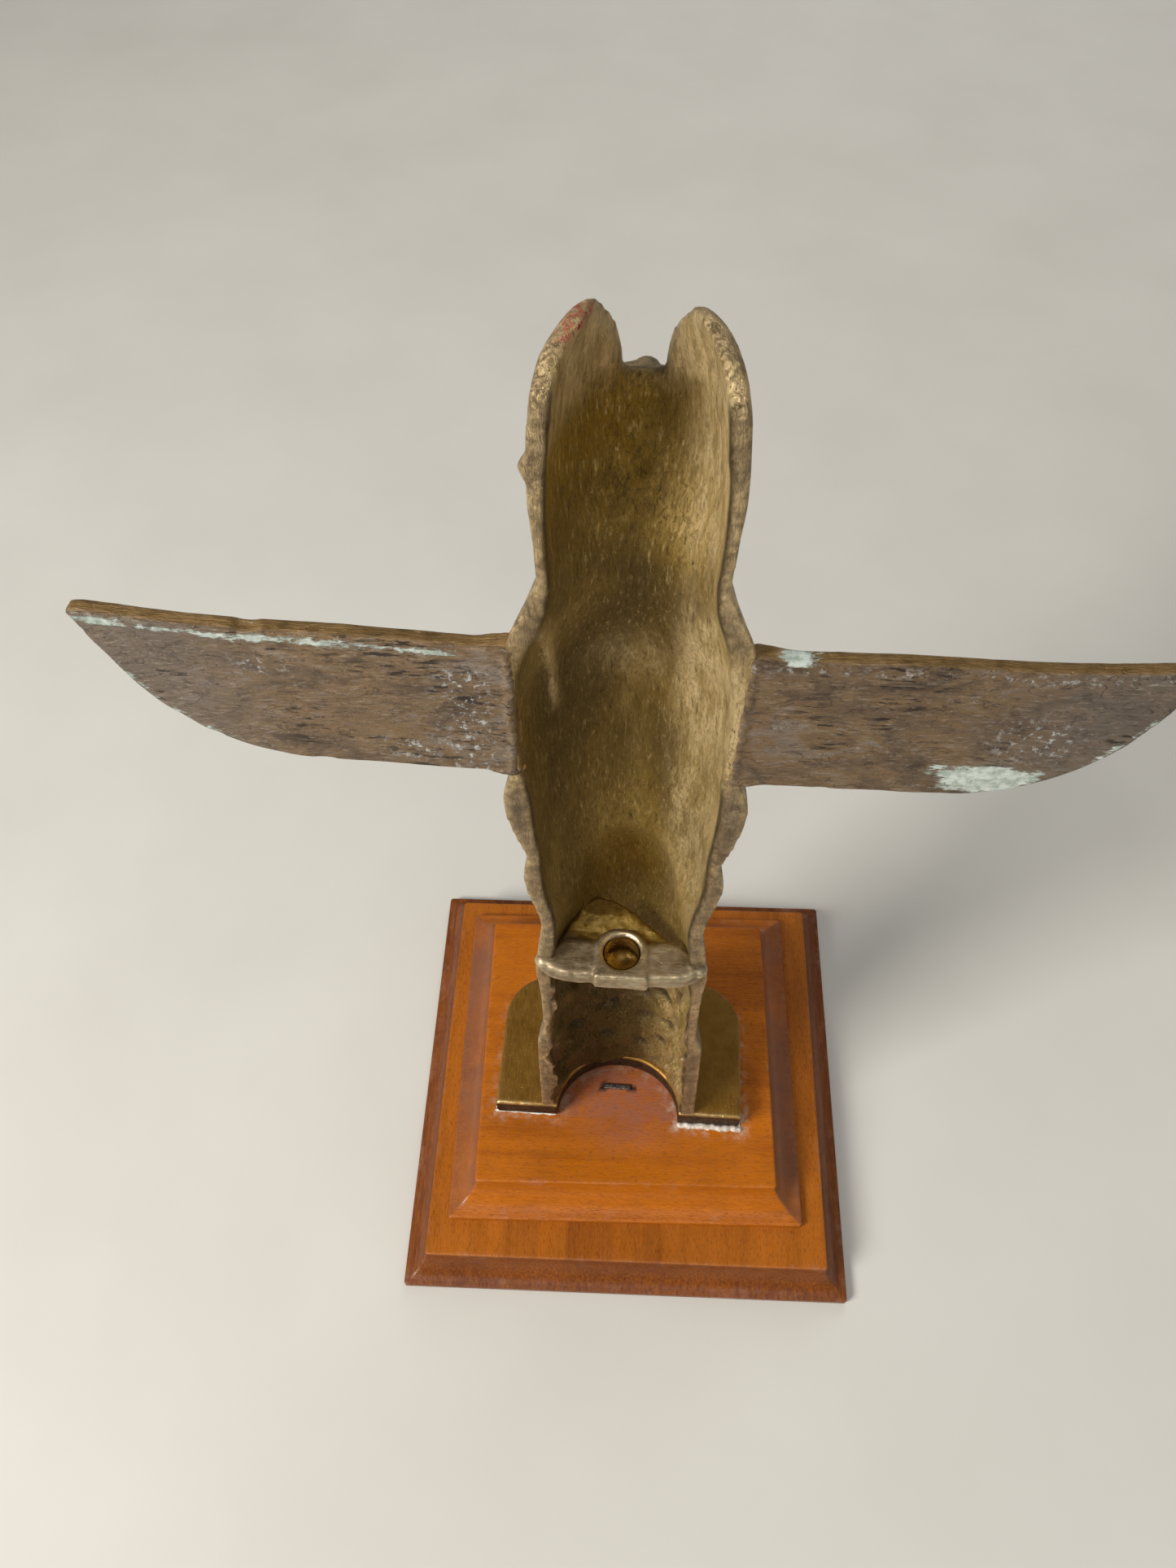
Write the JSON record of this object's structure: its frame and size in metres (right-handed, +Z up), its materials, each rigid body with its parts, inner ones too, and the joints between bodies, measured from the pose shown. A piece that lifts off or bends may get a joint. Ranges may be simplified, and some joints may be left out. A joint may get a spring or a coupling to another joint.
{
  "type": "hood ornament on a display base",
  "caption": "Hollow-backed brass totem-pole car mascot with outspread brazed wings and a tapped fixing lug, glued to a stepped square wooden display base.",
  "frame": {"origin": "centre of the base's underside, where it rests on a table", "axes": "+Z up, the totem faces -Y and its hollow back faces +Y, +X is the totem's left"},
  "size_m": [0.1372, 0.1016, 0.2244],
  "materials": {
    "felt_pad": "matt",
    "wood_lower": "satin varnish",
    "wood_upper": "satin varnish",
    "staple_steel": "dulled",
    "glue": "matt",
    "brass_plate": "smooth, olive patina",
    "brass_cast": "cast, brown-gold patina",
    "brass_wing": "cast, brown corroded patina with verdigris",
    "brass_lug": "cast, grey-gold"
  },
  "bodies": {
    "root": {"base_pad": "felt_pad", "base_board": "wood_lower", "top_board": "wood_upper", "board_staple": "staple_steel", "glue_bed_left": "glue", "glue_bed_right": "glue", "foot_plate": "brass_plate", "totem_casting": "brass_cast", "wing_left": "brass_wing", "wing_right": "brass_wing", "mounting_lug": "brass_lug"}
  },
  "joints": []
}
